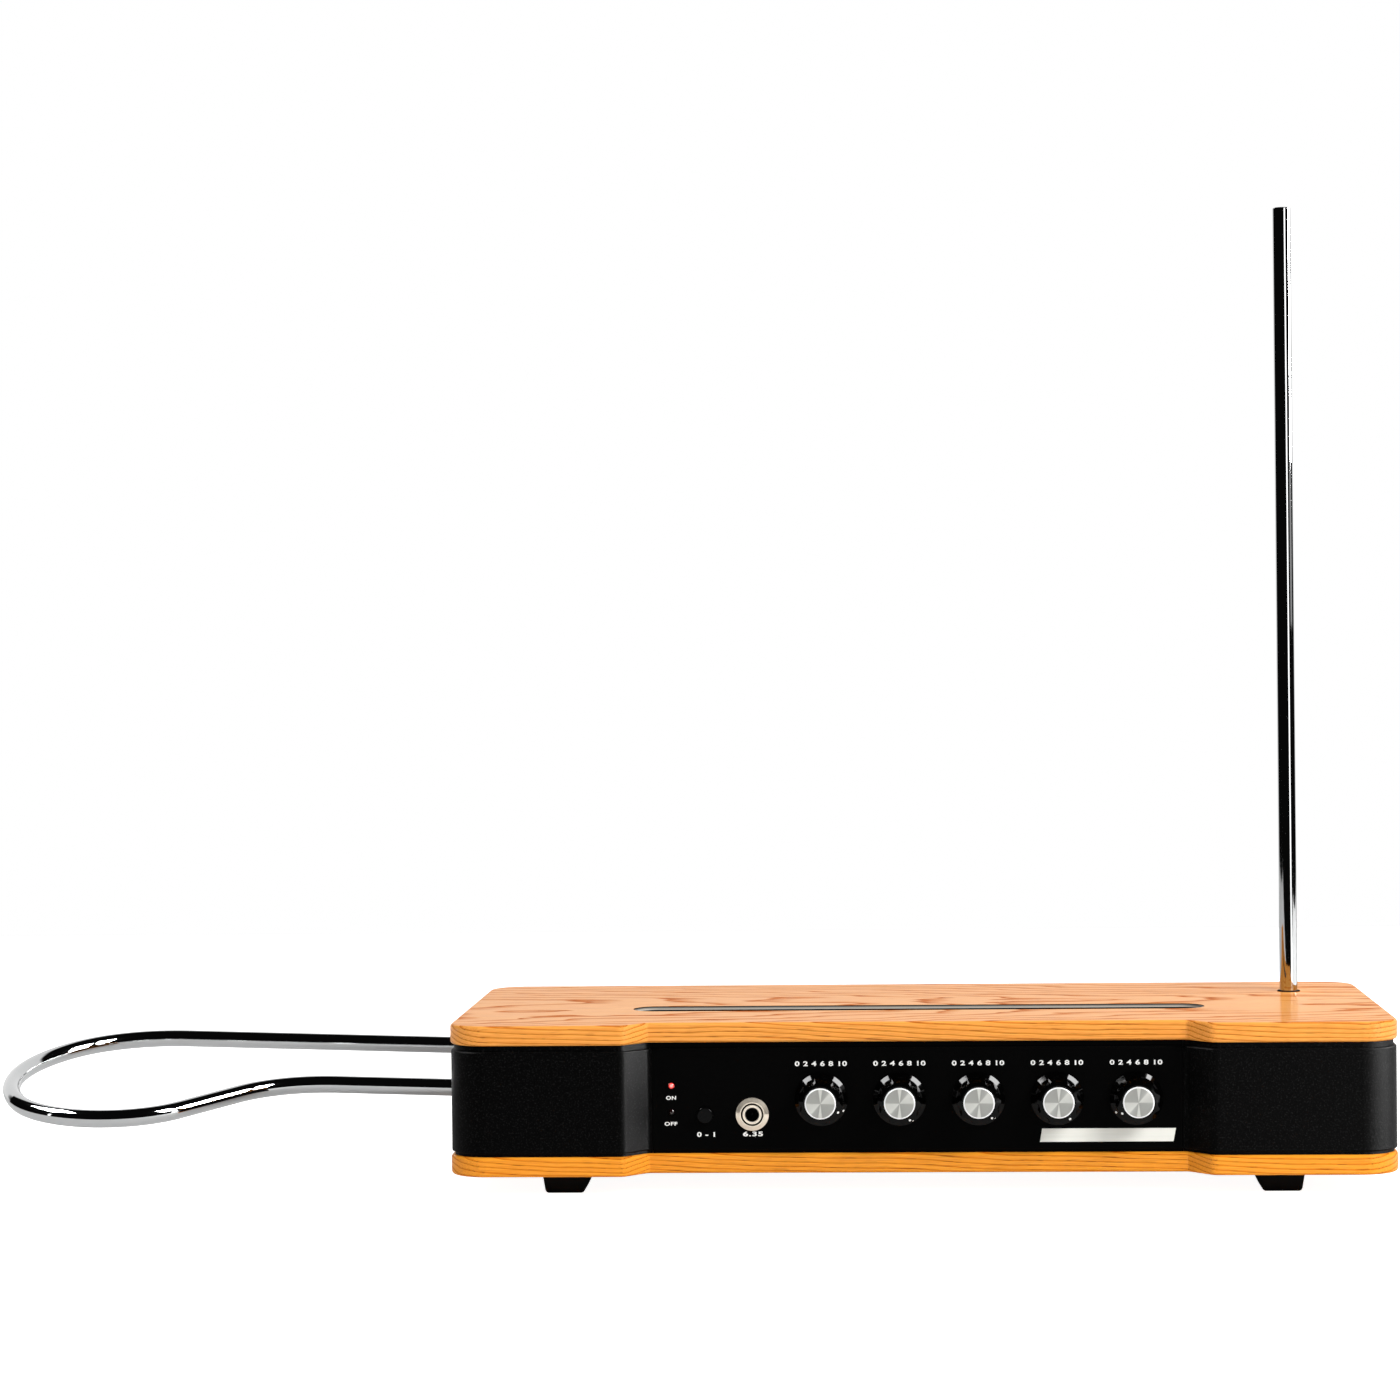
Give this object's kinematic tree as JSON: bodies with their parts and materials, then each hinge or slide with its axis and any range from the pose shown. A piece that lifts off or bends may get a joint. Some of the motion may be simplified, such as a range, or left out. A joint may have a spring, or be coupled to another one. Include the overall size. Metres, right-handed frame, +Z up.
{
  "type": "theremin",
  "caption": "Table-top theremin: wood-and-metal case, upright pitch rod, volume loop, turning knobs and a mute button.",
  "frame": {"origin": "mouth of the microphone-stand thread, in the underside of the bottom plate and centred on the case", "axes": "+X to the player's right (pitch rod's end), -Y the front panel's side, +Z up"},
  "size_m": [0.7121, 0.2146, 0.5035],
  "materials": {
    "oiled_wood": "oiled, open-grained ash or oak",
    "textured_black": "fine-textured satin black coating",
    "smooth_black": "smooth matt black coating",
    "aluminium": "machined",
    "brass": "turned",
    "dark_screw": "blackened steel",
    "zinc_steel": "zinc plated",
    "rubber": "matt",
    "flange_metal": "black powder coat",
    "liner_plastic": "satin grey rim, black inside",
    "chrome": "polished",
    "black_nylon": "moulded",
    "nickel": "warm nickel plate",
    "button_plastic": "satin black",
    "red_lens": "clear red, lit",
    "dark_lens": "smoked, unlit",
    "circuit_board": "solder mask",
    "chip_black": "moulded",
    "capacitor_sleeve": "shrink sleeve",
    "copper_winding": "enamelled copper wire",
    "knob_black": "glossy black",
    "spun_aluminium": "spun face"
  },
  "bodies": {
    "case": {"top_plate": "oiled_wood", "bottom_plate": "oiled_wood", "left_end_shell": "textured_black", "right_end_shell": "textured_black", "front_panel": "smooth_black", "rear_panel": "smooth_black", "case_posts": "aluminium", "plate_inserts": "brass", "case_screws": "dark_screw", "foot_screws": "dark_screw", "mic_flange_screws": "dark_screw", "top_plate_screws": "zinc_steel", "bracket_screws": "zinc_steel", "board_screws": "zinc_steel", "rubber_feet": "rubber", "mic_stand_flange": "flange_metal", "slot_liner": "liner_plastic", "pitch_antenna_sleeve": "brass", "volume_antenna_sleeves": "brass", "pitch_antenna_collar": "black_nylon", "pitch_antenna_socket": "black_nylon", "volume_antenna_bracket": "black_nylon", "potentiometers": "zinc_steel", "pot_nuts": "nickel", "mute_switch": "black_nylon", "power_led": "red_lens", "mute_led": "dark_lens", "phones_jack": "nickel", "phones_jack_nut": "nickel", "output_jack": "nickel", "cv_jacks": "nickel", "rear_jack_nuts": "nickel", "dc_inlet": "black_nylon", "main_board": "circuit_board", "panel_boards": "circuit_board", "board_standoffs": "aluminium", "board_chips": "chip_black", "board_capacitors": "capacitor_sleeve", "pitch_coils": "copper_winding", "volume_coils": "copper_winding"},
    "pitch_antenna": {"pitch_antenna_rod": "chrome", "pitch_antenna_plug": "brass"},
    "volume_loop": {"volume_loop_rod": "chrome", "volume_loop_plugs": "brass"},
    "mute_button": {"mute_button": "button_plastic"},
    "knob_1": {"knob_1_body": "knob_black", "knob_1_cap": "spun_aluminium", "knob_1_shaft": "zinc_steel"},
    "knob_2": {"knob_2_body": "knob_black", "knob_2_cap": "spun_aluminium", "knob_2_shaft": "zinc_steel"},
    "knob_3": {"knob_3_body": "knob_black", "knob_3_cap": "spun_aluminium", "knob_3_shaft": "zinc_steel"},
    "knob_4": {"knob_4_body": "knob_black", "knob_4_cap": "spun_aluminium", "knob_4_shaft": "zinc_steel"},
    "knob_5": {"knob_5_body": "knob_black", "knob_5_cap": "spun_aluminium", "knob_5_shaft": "zinc_steel"}
  },
  "joints": [
    {"name": "knob_1_turn", "type": "hinge", "parent": "case", "child": "knob_1", "pos_m": [-0.0495, -0.0897, 0.037], "axis": [0, 1, 0], "range_deg": [-267, 33]},
    {"name": "knob_2_turn", "type": "hinge", "parent": "case", "child": "knob_2", "pos_m": [-0.0104, -0.0897, 0.037], "axis": [0, 1, 0], "range_deg": [-299, 1]},
    {"name": "knob_3_turn", "type": "hinge", "parent": "case", "child": "knob_3", "pos_m": [0.0287, -0.0897, 0.037], "axis": [0, 1, 0], "range_deg": [-290, 10]},
    {"name": "knob_4_turn", "type": "hinge", "parent": "case", "child": "knob_4", "pos_m": [0.0678, -0.0897, 0.037], "axis": [0, 1, 0], "range_deg": [-296, 4]},
    {"name": "knob_5_turn", "type": "hinge", "parent": "case", "child": "knob_5", "pos_m": [0.1069, -0.0897, 0.037], "axis": [0, 1, 0], "range_deg": [-26, 274]},
    {"name": "mute_press", "type": "slide", "parent": "case", "child": "mute_button", "axis": [0, 1, 0], "range_m": [0, 0.0012], "stiffness_N_per_m": 500, "springref_m": -0.001},
    {"name": "pitch_antenna_lift", "type": "slide", "parent": "case", "child": "pitch_antenna", "axis": [0, 0, 1], "range_m": [0, 0.05]},
    {"name": "volume_loop_pull", "type": "slide", "parent": "case", "child": "volume_loop", "axis": [-0.9996, 0, 0.0297], "range_m": [0, 0.045]}
  ]
}
